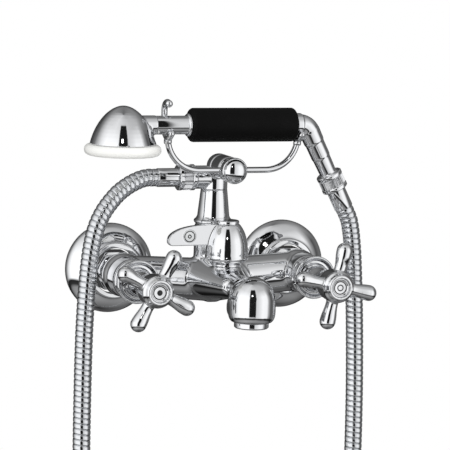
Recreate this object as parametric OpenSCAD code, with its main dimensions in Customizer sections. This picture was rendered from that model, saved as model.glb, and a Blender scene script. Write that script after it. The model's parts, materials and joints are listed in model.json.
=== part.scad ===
// Wall bath shower mixer: a two-handle body with spout, lever diverter, riser and fork cradle,
// a telephone handset and its ribbed hose. Millimetres.
// X runs to the right, Y into the wall, Z up. The origin lies on the wall, midway between the inlets.
// "Front" is the distance from the wall, so a point at front 40 has y = -40.

/* [Wall connection] */
// Distance between the two wall inlets
inlet_spacing = 150; // [146:0.5:154]
// Radius of the inlet threads that screw into the wall (half-inch pipe)
inlet_thread_r = 10.48; // [10:0.02:11]
// Length of the inlet threads behind the wall face
inlet_thread_len = 14; // [10:1:20]
// Radius of each wall rosette
rosette_r = 36; // [33:0.5:42]
// How far each rosette stands out from the wall
rosette_depth = 20; // [19:0.5:21]
// Wall thickness of a rosette
rosette_wall = 1.4; // [1:0.1:1.8]
// Width across the flats of the union nuts
union_flats = 30; // [29.5:0.5:31]

/* [Body] */
// Distance between the two valve axes
valve_spacing = 147; // [145:0.5:149]
// Distance of the cross arm's axis from the wall
arm_front = 40; // [39:0.5:43]
// Radius of the cross arm at the valves
arm_r = 15.6; // [15:0.1:16]
// Radius of the cross arm in the middle
arm_middle_r = 17.2; // [16.5:0.1:18]
// How far the cross arm falls from the valves to the middle
arm_fall = 5.8; // [4:0.1:6.5]
// Radius of the balls at the ends of the cross arm
ball_r = 17.4; // [17.2:0.1:17.8]
// Radius of each valve barrel at its mouth
barrel_r = 16.2; // [15.5:0.1:16.8]
// Length of a valve barrel, from the arm's axis to its mouth
barrel_len = 26; // [25:0.5:28]
// Radius of the vertical stem under the riser
stem_r = 14.8; // [14:0.1:15.2]
// Height of the stem's top above the valve axes
stem_top = 40; // [38:0.5:42]

/* [Spout] */
// Distance of the nozzle's axis from the wall
spout_reach = 132; // [128:1:145]
// Radius of the nozzle
nozzle_r = 18.2; // [17:0.1:19]
// Height of the nozzle's rim below the valve axes
nozzle_drop = 24; // [22:0.5:28]
// Height of the nozzle's crown above the valve axes
nozzle_crown = 11; // [9:0.5:13]
// Height of the neck's axis below the valve axes
neck_drop = 3; // [2:0.5:4]
// Radius of the neck where it leaves the arm
neck_root_r = 16.2; // [15:0.1:17]
// Radius of the neck where it meets the nozzle
neck_tip_r = 9.6; // [9:0.1:11]
// Radius of the aerator's ring
aerator_r = 13.3; // [12.8:0.1:14]
// Height of the aerator's ring below the nozzle's rim
aerator_len = 4.4; // [3:0.1:6]

/* [Valves and handles] */
// Length of a handle, from the barrel's mouth to the front of its hub
handle_len = 65.5; // [62:0.5:72]
// Radius of a cross handle, from its axis to the end of an arm
cross_r = 34.5; // [31:0.5:38]
// Radius of an arm's round end
cross_ball_r = 6.3; // [5.5:0.1:7]
// Radius of an arm's waist
cross_waist_r = 4.2; // [3.6:0.1:4.8]
// Turn of the hot handle's arms at rest, in degrees
hot_rest_turn = -28.5; // [-45:0.5:45]
// Turn of the cold handle's arms at rest, in degrees
cold_rest_turn = -12.5; // [-45:0.5:45]
// Radius of a valve spindle
spindle_r = 4; // [3.6:0.1:4.2]
// Radius of the index button in a handle's hub
button_r = 7.5; // [7:0.1:8]

/* [Diverter] */
// Distance of the diverter's axis from the wall
diverter_front = 73.5; // [73:0.5:76]
// Radius of the diverter dome at its lip
dome_r = 17.2; // [16:0.1:17.4]
// Height of the dome's top above the valve axes
dome_top = 43.6; // [41:0.2:46]
// Length of the lever, from the diverter's axis to its tip
lever_len = 49.3; // [45:0.1:51]
// Thickness of the lever
lever_t = 5; // [4:0.1:6]
// Radius of the round inlay on the lever
inlay_r = 5; // [4:0.1:5.6]

/* [Riser and cradle] */
// Height of the riser column's top above the valve axes
column_top = 67; // [65:0.5:69]
// Radius of the column at its top
column_r = 10.5; // [10.2:0.1:11]
// Height of the hose outlet's axis
outlet_height = 76.5; // [76:0.5:78]
// Height of the cradle's axis
cradle_height = 86.5; // [86:0.5:88]
// Distance of the fork's plane from the wall, which is also the handset's
cradle_front = 80; // [79:0.5:82]
// Radius of the bend in each fork arm
fork_bend_r = 26; // [24:0.5:28]
// Radius of the fork's rod
rod_r = 2.4; // [2:0.1:2.5]
// Radius of the cradle's domed nut
dome_nut_r = 10.2; // [9:0.1:11]

/* [Hose] */
// Radius of the hose over its ribs
hose_r = 7; // [6.6:0.1:7.3]
// Radius of the hose between its ribs
hose_groove_r = 6.2; // [5.8:0.1:6.4]
// Radius of the hose's bore
hose_bore_r = 4.5; // [4:0.1:4.8]
// Number of ribs along the hose
hose_ribs = 190; // [60:2:200]
// Radius of the hose nuts
hose_nut_r = 10.3; // [9.8:0.1:11]
// Length of the hose nuts
hose_nut_len = 14; // [12.5:0.5:14.5]
// Radius of the pipe threads that the hose nuts turn on
hose_thread_r = 8.3; // [8:0.1:8.6]

/* [Handset] */
// Height of the handset's axis above the valve axes
handset_height = 121.8; // [121:0.1:123]
// Radius of the handset's tube
tube_r = 7.2; // [6.8:0.1:7.4]
// Distance of the spray head's axis to the left of the cradle's axis
head_x = 89.6; // [87:0.1:95]
// Radius of the spray head's rim
rim_r = 29.6; // [28:0.1:32]
// Thickness of the spray head's rim
rim_t = 8.4; // [7.6:0.1:9.4]
// Radius of the bell where it meets the rim
bell_r = 25.4; // [24:0.1:27]
// Height of the bell above the rim
bell_h = 29.6; // [27:0.1:32]
// Radius of the grip
grip_r = 13.2; // [12:0.1:14]
// Length of the grip
grip_len = 86.1; // [80:0.1:90]
// Length from the left claw to the grip
claw_to_grip = 17.5; // [17:0.1:18.6]
// Length from the grip to the right claw
grip_to_claw = 3.2; // [3.1:0.1:3.4]
// Radius of the collar behind the grip
collar_r = 9; // [8.4:0.1:9.2]
// Radius of the elbow's tube
elbow_r = 8.2; // [7.8:0.1:8.4]
// Angle of the elbow, in degrees
elbow_turn = 62.5; // [58:0.5:64]
// Length of the tail from the elbow to the hose nut
tail_len = 37.5; // [36:0.5:40]

/* [Fits] */
// Radial clearance of a turning shaft
running_gap = 0.06; // [0.03:0.01:0.1]
// Radial clearance of a push fit or a thread
push_gap = 0.05; // [0.02:0.01:0.1]
// Gap between a claw and the handset that it carries
claw_gap = 0.35; // [0.3:0.05:0.6]
// Gap between a handle or dome and the fixed part under it
face_gap = 0.4; // [0.3:0.1:0.8]

/* [Hidden] */

round_fn = 96;
small_fn = 48;
chrome = [0.80, 0.81, 0.83];
brass = [0.78, 0.62, 0.30];
white = [0.93, 0.93, 0.91];
black = [0.05, 0.05, 0.05];
rubber = [0.16, 0.16, 0.17];
ceramic = [0.88, 0.87, 0.84];
// A cut runs this far past the face that it opens
past = 1;

// Unions between wall and body, in front of the wall
eccentric = (inlet_spacing - valve_spacing) / 2;
union_flange_t = 3;
union_nose_r = 13.2;
union_nose_end = 12.5;
union_bore_r = 8;
washer_t = 2;
tail_flange_r = union_nose_r - 0.2;
tail_flange_t = 2.5;
tail_neck_r = 11;
tail_start = union_nose_end + washer_t;
union_nut_from = union_flange_t + 0.4;
union_nut_wall = 3;
union_nut_end = tail_start + tail_flange_t + union_nut_wall;
union_nut_corner_r = union_flats / 2 / cos(30);
rosette_bore_r = union_nut_corner_r + 0.8;

// Valves, measured as distances from the wall
barrel_mouth = arm_front + barrel_len;
valve_bore_r = 10;
valve_seat = barrel_mouth - 20;
disc_r = 7.3;
disc_t = 2.5;
disc_port_r = 2;
disc_port_x = 3.8;
cage_r = 9;
chamber_r = disc_r + 0.3;
moving_disc_at = valve_seat + disc_t;
foot_at = moving_disc_at + disc_t;
foot_t = 3.6;
foot_r = 6.4;
thread_from = valve_seat + 12;
headwork_collar_r = 12;
headwork_collar_t = 5;
headwork_neck_r = 7;
headwork_end = barrel_mouth + 17;
seal_minor_r = 0.85;
seal_major_r = spindle_r - 0.05;
seal_at = headwork_end - 7;
seal_room_r = seal_major_r + seal_minor_r + running_gap;
shroud_len = 12.6;
shroud_lip_r = barrel_r + 0.8;
shroud_hole_r = headwork_neck_r + 0.3;

// Handles, measured as distances from the wall
handle_back = barrel_mouth + shroud_len + 2;
handle_front = barrel_mouth + handle_len;
cross_at = handle_front - 10.5;
spindle_end = cross_at - 9;
screw_seat = cross_at - 3;
button_t = 2.6;
button_at = handle_front - button_t - 1;
hub_r = 12.6;
hub_waist_r = 8.6;
hub_skirt_r = 10.6;
screw_r = 1.6;
screw_head_r = 3.5;
screw_head_t = 3;

// Cross arm and spout
arm_tilt = atan(arm_fall / (valve_spacing / 2));
arm_len = valve_spacing / 2 / cos(arm_tilt);
arm_ring_r = arm_middle_r + 0.5;
arm_ring_t = 9;
neck_start = arm_front + 8;
neck_end = spout_reach - 14;
neck_bore_r = 6;
rim_turn_in = 4;
rim_turn_h = 7.5;
gusset_r = nozzle_r - 2.6;
gusset_back = 11;
gusset_crown = nozzle_crown - 9;
aerator_thread_r = aerator_r - 1.3;
aerator_thread_len = 8;
aerator_bore_r = aerator_thread_r - 1.6;
aerator_seal_t = 2;
aerator_seal_at = aerator_thread_len - nozzle_drop;
nozzle_bore_r = aerator_thread_r - 2;

// Diverter, measured as heights above the valve axes
diverter_chamber_r = 9.05;
diverter_boss_r = 11.6;
diverter_boss_top = 11.1;
spool_r = diverter_chamber_r - 0.4;
spool_bottom = -11;
spool_top = 1;
bonnet_bottom = spool_top + 0.4;
bonnet_top = diverter_boss_top + 4.7;
bonnet_flange_r = dome_r - 2.2;
dome_bottom = bonnet_top + face_gap;
dome_wall = 2;
diverter_spindle_top = dome_top - 4;
diverter_seal_at = diverter_boss_top + 2;
cap_r = 9;
cap_t = 3;
lever_bottom = dome_bottom + 11;
lever_tip_h = 3.6;
lever_crown_x = 13;
lever_fullness = 2.3;
lever_root_x = 8;
inlay_x = 0.65 * lever_len;
inlay_z = lever_bottom + 7.4;
inlay_depth = 0.5;
inlay_proud = 0.4;

// Riser, outlet and cradle
spigot_r = 9;
spigot_len = 7;
riser_bore_r = 6.5;
riser_seal_minor_r = 0.9;
riser_seal_z = stem_top - 3.5;
column_foot_r = stem_r + 0.6;
column_foot_t = 3.4;
column_base_r = column_r + 2.1;
boss_r = column_r - 0.7;
boss_start = arm_front + 4;
boss_round_r = 6;
boss_round_h = 5;
stub_r = column_r - 1.3;
hub_t = 8;
fork_hub_r = 8.5;
boss_end = cradle_front - hub_t / 2;
nut_seat = cradle_front + hub_t / 2;
stud_r = 3;
stud_from = boss_end - 13;
stud_to = nut_seat + 4;
nut_collar_t = 3;
nut_dome_r = dome_nut_r - 0.9;
hook_r = 7;
hook_rise = 10.4;
hook_past_top = 30;
front_prong_turn = 52;
knuckle_r = rod_r + 0.7;
knuckle_h = 3;
knuckle_drop = 1.6;
tip_ball_r = 1.08 * rod_r;
hook_ball_r = 1.2 * rod_r;

// Hose fittings, measured along their own axis from the back of the nut
nut_end_wall = 3.6;
hose_thread_len = 6.5;
hose_washer_t = 1.8;
ferrule_r = hose_r + 0.4;
ferrule_neck_r = 7;
ferrule_len = 16.8;
fitting_len = 0.2 + hose_nut_len + ferrule_len;
outlet_nut_x = 17;
hose_end_gap = 0.06;

// Handset
head_z = handset_height - 14.5;
claw_x = (claw_to_grip + grip_len + grip_to_claw) / 2;
grip_start = claw_to_grip - claw_x;
grip_end = grip_start + grip_len;
elbow_bend_r = 10;
elbow_start = claw_x + 1.1;
collar_end = claw_x + rod_r + 0.2;
plate_r = rim_r - 7;
plate_t = 3;
plate_hole_r = 0.8;
plate_rings = 3;
gasket_t = 1.6;
plate_top = head_z - rim_t + plate_t - 0.4;
bell_wall = 3;
fairing_x = 12;
fairing_r = 11;
socket_r = tube_r + 0.3;
tube_spigot_r = tube_r - 1.1;
tube_bore_r = tube_r - 1.2;
socket_end = -head_x + 26;
tube_inside = 10;
tube_end = grip_end - 3;
front_collar_t = 3;
front_collar_r = 8.9;
tail_seam = 9.4;
tail_step = 22.6;
tail_root_r = elbow_r - 0.2;
tail_step_r = elbow_r - 0.9;
tail_tip_r = elbow_r - 1.6;

// Where the elbow's tail starts, and where the hose leaves the handset
elbow_out = [
    elbow_start + elbow_bend_r * sin(elbow_turn),
    handset_height - elbow_bend_r * (1 - cos(elbow_turn)),
];

// Where the hose leaves its two fittings
tail_way = [cos(elbow_turn), 0, -sin(elbow_turn)];
hose_start = [-outlet_nut_x - fitting_len, -arm_front, outlet_height];
hose_end = [elbow_out[0], -cradle_front, elbow_out[1]] + (tail_len + fitting_len + hose_end_gap) * tail_way;

// The hose's route: straight out of the outlet, down, round in a hanging loop and up to the handset
hose_left_leg = [
    [-4, 0, 0], [-8, 0, 0], [-15, -0.6, -1.7], [-25, -2, -6.4], [-35, -3.6, -14], [-46, -6, -27.5],
    [-53, -8, -44.5], [-57.5, -10.5, -71.5], [-60.5, -13, -116.5], [-61.5, -15, -176.5], [-61.5, -17, -246.5],
    [-61, -19, -316.5], [-59, -20, -386.5], [-51, -21, -441.5], [-30, -23, -485.5], [2, -25, -513.5],
    [44, -28, -524.5],
];
hose_right_leg = [
    [-55, 9, -493.6], [-21, 7, -464.6], [3, 5, -419.6], [13, 3, -365.6], [16, 2, -295.6], [16, 1, -225.6],
    [15, 0, -155.6], [12.9, 0, -95.6], [10.2, 0, -51.6], [8, 0, -27.6], [5.6, 0, -13.1],
];
hose_route = [
    hose_start, for (p = hose_left_leg) hose_start + p, for (p = hose_right_leg) hose_end + p,
    hose_end + 7.5 * tail_way, hose_end,
];
hose_samples = 10;
hose_sides = 8;
hose_bore_step = 4;

// Points on an arc about c, from angle a0 to a1 in n steps
function arc(c, r, a0, a1, n) =
    [for (i = [0:n]) c + r * [cos(a0 + (a1 - a0) * i / n), sin(a0 + (a1 - a0) * i / n)]];

// Points on a quarter of an ellipse, from its side to its top, cut off at radius r_top
function dome_curve(r, h, z0, r_top, n) =
    let (last = acos(r_top / r))
    [for (i = [0:n]) [r * cos(last * i / n), z0 + h * sin(last * i / n) / sin(last)]];

// Local Z runs from the wall to the front, local Y up
module forward(x, z) translate([x, 0, z]) rotate([90, 0, 0]) children();

// Local Z runs to the left, local X up
module leftward(front, z) translate([0, -front, z]) rotate([0, -90, 0]) children();

// Local Z runs to the right
module rightward(front, z) translate([0, -front, z]) rotate([0, 90, 0]) children();

// Local Z runs up
module upward(x, front) translate([x, -front, 0]) children();

// Local X runs to the front and local Y up, in the plane at x
module sideways(x) translate([x, 0, 0]) rotate([90, 0, -90]) children();

module turned(points) rotate_extrude($fn = round_fn) polygon(points);

module ring(r_in, r_out, from, to)
    rotate_extrude($fn = round_fn) translate([r_in, from]) square([r_out - r_in, to - from]);

module rod(r, from, to) translate([0, 0, from]) cylinder(h = to - from, r = r, $fn = small_fn);

module seal_ring(major_r, minor_r, at)
    translate([0, 0, at]) rotate_extrude($fn = round_fn)
        translate([major_r, 0]) circle(r = minor_r, $fn = small_fn);

// The two sides of the mixer: -1 is hot (left), 1 is cold (right)
function valve_x(side) = side * valve_spacing / 2;
function inlet_x(side) = side * inlet_spacing / 2;

// Wall connection

module eccentric_union(side) color(brass) {
    mid = (inlet_x(side) + valve_x(side)) / 2;
    difference() {
        union() {
            forward(inlet_x(side), 0) rod(inlet_thread_r, -inlet_thread_len, 0);
            forward(mid, 0) rod(union_nose_r + 0.6 + eccentric / 2, 0, union_flange_t);
            forward(valve_x(side), 0) rod(union_nose_r, union_flange_t, union_nose_end);
        }
        forward(inlet_x(side), 0) rod(union_bore_r, -inlet_thread_len - past, union_flange_t / 2);
        forward(valve_x(side), 0) rod(union_bore_r - 0.3, 0, union_nose_end + past);
    }
}

module rosette(side) color(chrome) forward(valve_x(side), 0) {
    lip_r = rosette_bore_r + 3.8;
    edge = 1.6;
    crown = rosette_depth - 5.6;
    shoulder_r = lip_r + 2.4;
    outer = dome_curve(rosette_r, crown - edge, edge, shoulder_r, 9);
    inner = dome_curve(rosette_r - rosette_wall, crown - edge, edge - rosette_wall, shoulder_r, 9);
    turned(concat(
        [[rosette_r - rosette_wall, 0], [rosette_r, 0]],
        outer,
        [[lip_r + 1, crown + 0.7], [lip_r + 0.7, crown + 1.6]],
        arc([lip_r - 0.8, rosette_depth - 1.6], 1.6, 0, 90, 4),
        [[rosette_bore_r, rosette_depth], [rosette_bore_r, crown - edge]],
        [for (i = [len(inner) - 1:-1:1]) inner[i]]
    ));
}

module union_nut(side) color(chrome) forward(valve_x(side), 0)
    difference() {
        intersection() {
            translate([0, 0, union_nut_from])
                cylinder(h = union_nut_end - union_nut_from, r = union_nut_corner_r, $fn = 6);
            turned([
                [0, union_nut_from], [union_nut_corner_r - 1.6, union_nut_from],
                [union_nut_corner_r, union_nut_from + 1], [union_nut_corner_r, union_nut_end - 1],
                [union_nut_corner_r - 1.6, union_nut_end], [0, union_nut_end],
            ]);
        }
        rod(union_nose_r + push_gap, union_nut_from - past, union_nut_end - union_nut_wall);
        rod(tail_neck_r + push_gap, union_nut_from, union_nut_end + past);
    }

module union_washer(side) color(rubber) forward(valve_x(side), 0)
    ring(union_bore_r - 0.3, tail_flange_r, union_nose_end, tail_start);

// Body

// A downward nozzle: a round crown over a straight wall that turns in at the rim
module drop_form(r, crown, rim) {
    centre = crown - r;
    rotate_extrude($fn = round_fn) {
        intersection() {
            translate([0, centre]) circle(r = r, $fn = round_fn);
            translate([0, centre]) square([r, r]);
        }
        polygon(concat(
            [[0, rim]],
            [for (a = [-90:15:0]) [r - rim_turn_in * (1 - cos(a)), rim + rim_turn_h * (1 + sin(a))]],
            [[r, centre], [0, centre]]
        ));
    }
}

// The neck sweeps in from the arm to the nozzle on a parabola
module neck_form() {
    steps = 10;
    turned(concat(
        [[0, neck_start]],
        [for (i = [0:steps]) [
            neck_tip_r + (neck_root_r - neck_tip_r) * pow(1 - i / steps, 2),
            neck_start + (neck_end - neck_start) * i / steps,
        ]],
        [[neck_tip_r, spout_reach], [0, spout_reach]]
    ));
}

// Half of the cross arm: it falls from its valve to the middle and widens on the way
module arm_form(side) translate([valve_x(side), -arm_front, 0]) rotate([0, -side * (90 + arm_tilt), 0])
    turned([[0, 0], [arm_r, 0], [arm_middle_r, arm_len], [0, arm_len]]);

module barrel_form() turned([
    [0, tail_start], [tail_flange_r, tail_start], [tail_flange_r, tail_start + tail_flange_t],
    [tail_neck_r, tail_start + tail_flange_t], [tail_neck_r, arm_front - 8],
    [barrel_r - 0.6, arm_front], [barrel_r, barrel_mouth], [0, barrel_mouth],
]);

module stem_form() turned(concat(
    [[0, 0], [stem_r, 0]],
    arc([stem_r - 2, stem_top - 2], 2, 0, 90, 4),
    [[0, stem_top]]
));

module body_passages() {
    for (side = [-1, 1]) forward(valve_x(side), 0) {
        rod(union_bore_r - 1, tail_start - past, valve_seat);
        rod(valve_bore_r + push_gap, valve_seat, barrel_mouth + past);
    }
    rightward(valve_seat + 4.5, 0) rod(4.6, -valve_spacing / 2, valve_spacing / 2);
    forward(0, -neck_drop) rod(neck_bore_r, valve_seat + 2, spout_reach);
    upward(0, arm_front) {
        rod(riser_bore_r, -2, stem_top + past);
        rod(spigot_r + push_gap, stem_top - spigot_len, stem_top + past);
    }
    upward(0, diverter_front) rod(diverter_chamber_r, spool_bottom - 0.4, diverter_boss_top + past);
    upward(0, spout_reach) {
        rod(nozzle_bore_r, -nozzle_drop, 0);
        rod(aerator_thread_r + push_gap, -nozzle_drop - past, aerator_seal_at + aerator_seal_t);
    }
}

module mixer_body() color(chrome) difference() {
    union() {
        for (side = [-1, 1]) arm_form(side);
        rightward(arm_front, -arm_fall) rod(arm_ring_r, -arm_ring_t / 2, arm_ring_t / 2);
        for (side = [-1, 1]) forward(valve_x(side), 0) {
            translate([0, 0, arm_front]) sphere(r = ball_r, $fn = round_fn);
            barrel_form();
        }
        forward(0, -neck_drop) neck_form();
        upward(0, spout_reach) drop_form(nozzle_r, nozzle_crown, -nozzle_drop);
        upward(0, spout_reach - gusset_back) drop_form(gusset_r, gusset_crown, 1.5 - nozzle_drop);
        upward(0, arm_front) stem_form();
        upward(0, diverter_front) rod(diverter_boss_r, -neck_drop, diverter_boss_top);
    }
    body_passages();
}

// Valves

module headwork(side) color(brass) forward(valve_x(side), 0) difference() {
    turned([
        [0, valve_seat], [cage_r, valve_seat], [cage_r, thread_from], [valve_bore_r, thread_from],
        [valve_bore_r, barrel_mouth], [headwork_collar_r, barrel_mouth],
        [headwork_collar_r, barrel_mouth + headwork_collar_t],
        [headwork_neck_r, barrel_mouth + headwork_collar_t], [headwork_neck_r, headwork_end],
        [0, headwork_end],
    ]);
    rod(chamber_r, valve_seat - past, foot_at + foot_t + 0.4);
    rod(spindle_r + running_gap, foot_at, headwork_end + past);
    rod(seal_room_r, seal_at - 1.6, seal_at + 1.6);
    for (turn = [0, 90]) rotate([0, 0, turn]) translate([0, 0, foot_at + 1.6]) rotate([0, 90, 0])
        rod(2.4, -cage_r - past, cage_r + past);
}

module valve_disc(from) difference() {
    rod(disc_r, from, from + disc_t);
    for (x = [-disc_port_x, disc_port_x]) translate([x, 0, 0])
        rod(disc_port_r, from - past, from + disc_t + past);
}

module fixed_disc(side) color(ceramic) forward(valve_x(side), 0) valve_disc(valve_seat);

module moving_disc(side) color(ceramic) forward(valve_x(side), 0) valve_disc(moving_disc_at);

module spindle(side) color(brass) forward(valve_x(side), 0) difference() {
    union() {
        rod(foot_r, foot_at, foot_at + foot_t);
        rod(spindle_r, foot_at, spindle_end);
    }
    ring(seal_major_r - seal_minor_r, spindle_r + past, seal_at - 1, seal_at + 1);
    rod(screw_r, spindle_end - 10, spindle_end + past);
}

module spindle_seal(side) color(rubber) forward(valve_x(side), 0)
    seal_ring(seal_major_r, seal_minor_r, seal_at);

// The ringed bell between a barrel and its handle, dished at the front
module shroud(side) color(chrome) forward(valve_x(side), 0) {
    front = barrel_mouth + shroud_len;
    dish = [for (i = [0:5]) [
        shroud_lip_r - 2.4 - i * (shroud_lip_r - 2.4 - shroud_hole_r) / 5,
        front - 1.2 - (i % 2) * 0.8 - i * 0.15,
    ]];
    turned(concat(
        [[headwork_collar_r + 0.4, barrel_mouth], [barrel_r, barrel_mouth]],
        [[barrel_r, barrel_mouth + 2.5], [barrel_r - 0.7, barrel_mouth + 3.2]],
        [[barrel_r - 0.7, barrel_mouth + 4.2]],
        arc([shroud_lip_r - 1.4, front - 1.4], 1.4, -20, 90, 5),
        dish,
        [[shroud_hole_r, barrel_mouth + headwork_collar_t + 0.4]],
        [[headwork_collar_r + 0.4, barrel_mouth + headwork_collar_t + 0.4]]
    ));
}

// One handle arm along local X: a waist that swells into a round end
module cross_arm() {
    steps = 12;
    from = 6;
    ball_x = cross_r - cross_ball_r;
    cap_from = 100;
    rotate([0, 90, 0]) turned(concat(
        [[0, from]],
        [for (i = [0:steps]) let (t = i / steps, reach = from + (ball_x - 1.1 - from) * t) [
            cross_waist_r + 1.6 * pow(1 - t, 3) + (cross_ball_r - 0.1 - cross_waist_r) * pow(sin(90 * t), 4),
            reach,
        ]],
        [for (i = [1:8]) let (a = cap_from - cap_from * i / 8)
            [cross_ball_r * sin(a), ball_x + cross_ball_r * cos(a)]]
    ));
}

module handle(side, turn) color(chrome) forward(valve_x(side), 0) difference() {
    union() {
        turned(concat(
            [[0, handle_back], [hub_skirt_r - 0.6, handle_back], [hub_skirt_r, handle_back + 1.6]],
            [for (i = [1:8]) [
                hub_waist_r + (hub_skirt_r - hub_waist_r) * pow(cos(90 * i / 8), 2),
                handle_back + 1.6 + i * 1.9,
            ]],
            [for (i = [1:6]) [
                hub_waist_r + (hub_r - hub_waist_r) * pow(sin(90 * i / 6), 2),
                handle_back + 16.8 + i * (cross_at - 6 - handle_back - 16.8) / 6,
            ]],
            arc([hub_r - 3, cross_at + 4.6], 3, 0, 60, 4),
            [[button_r + 2.4, handle_front - 0.7], [button_r + 1.8, handle_front]],
            [[0, handle_front]]
        ));
        for (quarter = [0:3]) rotate([0, 0, 90 + turn + 90 * quarter])
            translate([0, 0, cross_at]) cross_arm();
    }
    rod(headwork_neck_r + 0.4, handle_back - past, headwork_end + 1.4);
    rod(spindle_r + push_gap, handle_back, spindle_end);
    rod(screw_r + 0.4, spindle_end - past, screw_seat + past);
    rod(screw_head_r + 0.4, screw_seat, handle_front);
    rod(button_r + push_gap, button_at, handle_front + past);
}

module handle_screw(side) color(brass) forward(valve_x(side), 0) difference() {
    union() {
        rod(screw_r, spindle_end - 9, screw_seat);
        rod(screw_head_r, screw_seat, screw_seat + screw_head_t);
    }
    translate([-screw_head_r - past, -0.5, screw_seat + screw_head_t - 1.2])
        cube([2 * (screw_head_r + past), 1, 1.2 + past]);
}

module index_button(side) color(chrome) forward(valve_x(side), 0) turned([
    [0, button_at], [button_r, button_at], [button_r, button_at + button_t - 0.4],
    [button_r - 0.4, button_at + button_t], [button_r - 1, button_at + button_t],
    [button_r - 1.8, button_at + button_t - 0.7], [0, button_at + button_t - 0.7],
]);

// Aerator

module aerator_ring() color(chrome) upward(0, spout_reach) turned([
    [aerator_bore_r, -nozzle_drop - aerator_len], [aerator_r - 0.8, -nozzle_drop - aerator_len],
    [aerator_r, -nozzle_drop - aerator_len + 0.8], [aerator_r, -nozzle_drop],
    [aerator_thread_r, -nozzle_drop], [aerator_thread_r, -nozzle_drop + aerator_thread_len],
    [aerator_bore_r, -nozzle_drop + aerator_thread_len],
]);

module aerator_insert() color(white) upward(0, spout_reach) {
    bottom = -nozzle_drop - aerator_len + 1.2;
    pitch = aerator_bore_r / 4.2;
    hole_r = 0.36 * pitch;
    translate([0, 0, bottom]) linear_extrude(aerator_len + aerator_thread_len - 1.2) difference() {
        circle(r = aerator_bore_r - push_gap, $fn = small_fn);
        for (orbit = [1:3], i = [0:6 * orbit - 1]) rotate(60 * i / orbit)
            translate([orbit * pitch, 0]) circle(r = hole_r, $fn = 16);
    }
}

module aerator_seal() color(rubber) upward(0, spout_reach)
    ring(nozzle_bore_r, aerator_thread_r, aerator_seal_at, aerator_seal_at + aerator_seal_t);

// Diverter

module diverter_bonnet() color(chrome) upward(0, diverter_front) difference() {
    turned([
        [0, bonnet_bottom], [diverter_chamber_r - push_gap, bonnet_bottom],
        [diverter_chamber_r - push_gap, diverter_boss_top], [diverter_boss_r, diverter_boss_top],
        [diverter_boss_r - 0.4, diverter_boss_top + 1.4], [bonnet_flange_r - 1.2, bonnet_top - 1.6],
        [bonnet_flange_r, bonnet_top - 1], [bonnet_flange_r, bonnet_top], [0, bonnet_top],
    ]);
    rod(spindle_r + running_gap, bonnet_bottom - past, bonnet_top + past);
    rod(seal_room_r, diverter_seal_at - 1.6, diverter_seal_at + 1.6);
}

module diverter_spool() color(brass) upward(0, diverter_front) difference() {
    rod(spool_r, spool_bottom, spool_top);
    translate([0, 0, -neck_drop]) rotate([90, 0, 0]) rod(neck_bore_r - 1, -spool_r - past, spool_r + past);
}

module diverter_spindle() color(brass) upward(0, diverter_front) difference() {
    rod(spindle_r, spool_top, diverter_spindle_top);
    ring(seal_major_r - seal_minor_r, spindle_r + past, diverter_seal_at - 1, diverter_seal_at + 1);
}

module diverter_seal() color(rubber) upward(0, diverter_front)
    seal_ring(seal_major_r, seal_minor_r, diverter_seal_at);

// The leaf outline of the lever, in X and Z, with its tip to the left
module lever_outline() {
    power = 2 / lever_fullness;
    run = lever_len - lever_crown_x;
    rise = dome_top - lever_bottom - lever_tip_h;
    polygon(concat(
        [[-lever_root_x, lever_bottom]],
        [for (a = [-90:-22.5:-157.5]) [
            lever_tip_h * (1 + cos(a)) - lever_len,
            lever_bottom + lever_tip_h * (1 + sin(a)),
        ]],
        [for (a = [0:6:90]) [
            -lever_crown_x - run * pow(cos(a), power),
            dome_top - rise * (1 - pow(sin(a), power)),
        ]],
        [[-lever_root_x, dome_top]]
    ));
}

module diverter_handle() color(chrome) upward(0, diverter_front) difference() {
    union() {
        turned(concat(
            [[0, dome_bottom], [dome_r - 0.5, dome_bottom], [dome_r, dome_bottom + 0.6]],
            [[dome_r, dome_bottom + 2.2], [dome_r - 0.5, dome_bottom + 2.8]],
            dome_curve(dome_r - 0.4, dome_top - dome_bottom - 5, dome_bottom + 5, cap_r + 0.4, 12),
            [[0, dome_top]]
        ));
        translate([0, lever_t / 2, 0]) rotate([90, 0, 0]) linear_extrude(lever_t) lever_outline();
    }
    turned([
        [0, dome_bottom - past], [dome_r - dome_wall, dome_bottom - past],
        [dome_r - dome_wall - 0.5, dome_bottom + 6], [spindle_r + 3, dome_bottom + 12], [0, dome_bottom + 12],
    ]);
    rod(spindle_r + push_gap, dome_bottom, diverter_spindle_top);
    translate([-inlay_x, 0, inlay_z]) rotate([90, 0, 0])
        rod(inlay_r + push_gap, lever_t / 2 - inlay_depth, lever_t);
}

module diverter_cap() color(chrome) upward(0, diverter_front) turned(concat(
    [[0, dome_top], [cap_r, dome_top]],
    arc([cap_r - 1, dome_top + cap_t - 1], 1, 0, 90, 4),
    [[0, dome_top + cap_t]]
));

module diverter_inlay() color(white) upward(0, diverter_front)
    translate([-inlay_x, 0, inlay_z]) rotate([90, 0, 0])
        rod(inlay_r, lever_t / 2 - inlay_depth, lever_t / 2 + inlay_proud);

// Riser and cradle

module riser_column() color(chrome) upward(0, arm_front) difference() {
    turned(concat(
        [[0, stem_top - spigot_len + 0.4], [spigot_r, stem_top - spigot_len + 0.4], [spigot_r, stem_top]],
        [[column_foot_r - 0.8, stem_top]],
        arc([column_foot_r - column_foot_t / 2, stem_top + column_foot_t / 2], column_foot_t / 2, -60, 90, 8),
        [for (i = [0:4]) [
            column_base_r + 1.6 * pow(1 - i / 4, 2),
            stem_top + column_foot_t + i * 0.9,
        ]],
        [[column_r, column_top], [0, column_top]]
    ));
    rod(riser_bore_r, stem_top - spigot_len, column_top + past);
    ring(spigot_r - riser_seal_minor_r, spigot_r + 0.02, riser_seal_z - 1, riser_seal_z + 1);
}

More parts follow.
